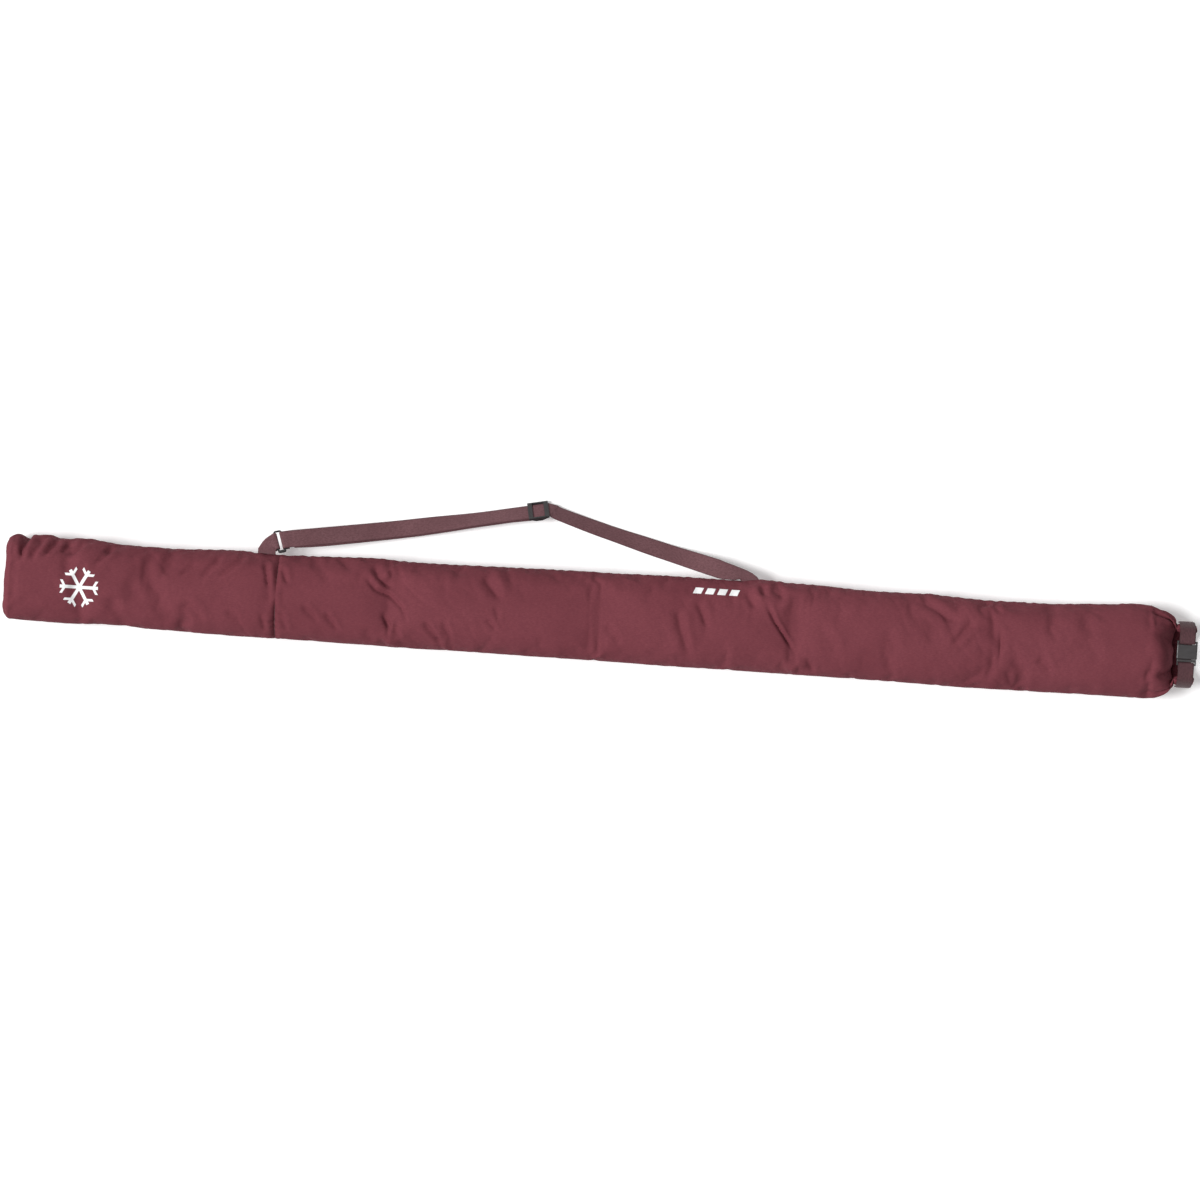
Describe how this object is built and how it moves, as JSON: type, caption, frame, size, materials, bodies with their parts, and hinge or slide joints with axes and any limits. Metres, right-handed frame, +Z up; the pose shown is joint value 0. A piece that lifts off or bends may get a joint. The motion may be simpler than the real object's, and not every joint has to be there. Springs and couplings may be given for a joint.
{
  "type": "ski bag",
  "caption": "Long padded-out ski sleeve of woven cloth with a rolled mouth held by a side-release buckle, and an adjustable webbing shoulder strap along one side.",
  "frame": {"origin": "on the ground under the bag's axis, at the middle of its length", "axes": "+X along the bag towards the rolled mouth, +Y towards the side seam with the strap, +Z up"},
  "size_m": [1.8816, 0.2502, 0.1008],
  "materials": {
    "cloth": "plain-woven coated polyester, dull sheen",
    "binding": "woven binding tape",
    "webbing": "ribbed flat webbing",
    "plastic": "moulded, fine satin",
    "stiffener": "extruded strip",
    "thread": "sewing thread",
    "print": "heat-transferred film"
  },
  "bodies": {
    "bag": {"tail_panel": "cloth", "main_panel": "cloth", "side_seam_tape": "binding", "tail_seam_tape": "binding", "join_seam_tape": "binding", "end_seam_tape": "binding", "mouth_roll": "cloth", "stiffener_strip": "stiffener", "female_tab": "webbing", "female_tab_bartack": "thread", "male_tab": "webbing", "male_tab_bartack": "thread", "buckle_female": "plastic", "loop_root_tab": "webbing", "loop_root_bartack": "thread", "strap_root_tab": "webbing", "strap_root_bartack": "thread", "snow_mark": "print", "dash_mark_1": "print", "dash_mark_2": "print", "dash_mark_3": "print", "dash_mark_4": "print"},
    "strap": {"ring_loop": "webbing", "strap_ring": "plastic", "shoulder_strap": "webbing", "strap_return": "webbing"},
    "slider": {"strap_slider": "plastic", "strap_end_bartack": "thread"},
    "buckle_plug": {"buckle_male": "plastic"},
    "left_arm": {"latch_arm_left": "plastic"},
    "right_arm": {"latch_arm_right": "plastic"}
  },
  "joints": [
    {"name": "strap_swing", "type": "hinge", "parent": "bag", "child": "strap", "pos_m": [-0.534, 0.07106, 0.047], "axis": [0.9999, 0.0113, 0], "range_deg": [0, 125]},
    {"name": "slider_slide", "type": "slide", "parent": "strap", "child": "slider", "axis": [-0.9799, -0.1994, 0], "range_m": [0, 0.05], "deforming": ["strap_return"]},
    {"name": "buckle_release", "type": "slide", "parent": "bag", "child": "buckle_plug", "axis": [0, -1, 0], "range_m": [0, 0.016], "deforming": ["male_tab"]},
    {"name": "latch_arm_left_flex", "type": "hinge", "parent": "buckle_plug", "child": "left_arm", "pos_m": [0.9143, -0.0073, 0.08551], "axis": [0, 0, -1], "range_deg": [0, 23], "stiffness_Nm_per_rad": 0.01},
    {"name": "latch_arm_right_flex", "type": "hinge", "parent": "buckle_plug", "child": "right_arm", "pos_m": [0.9347, -0.0073, 0.08551], "axis": [0, 0, 1], "range_deg": [0, 23], "stiffness_Nm_per_rad": 0.01}
  ],
  "couplings": [
    {"joint": "latch_arm_left_flex", "follows": "buckle_release", "rad_per_m": 25},
    {"joint": "latch_arm_right_flex", "follows": "buckle_release", "rad_per_m": 25}
  ]
}
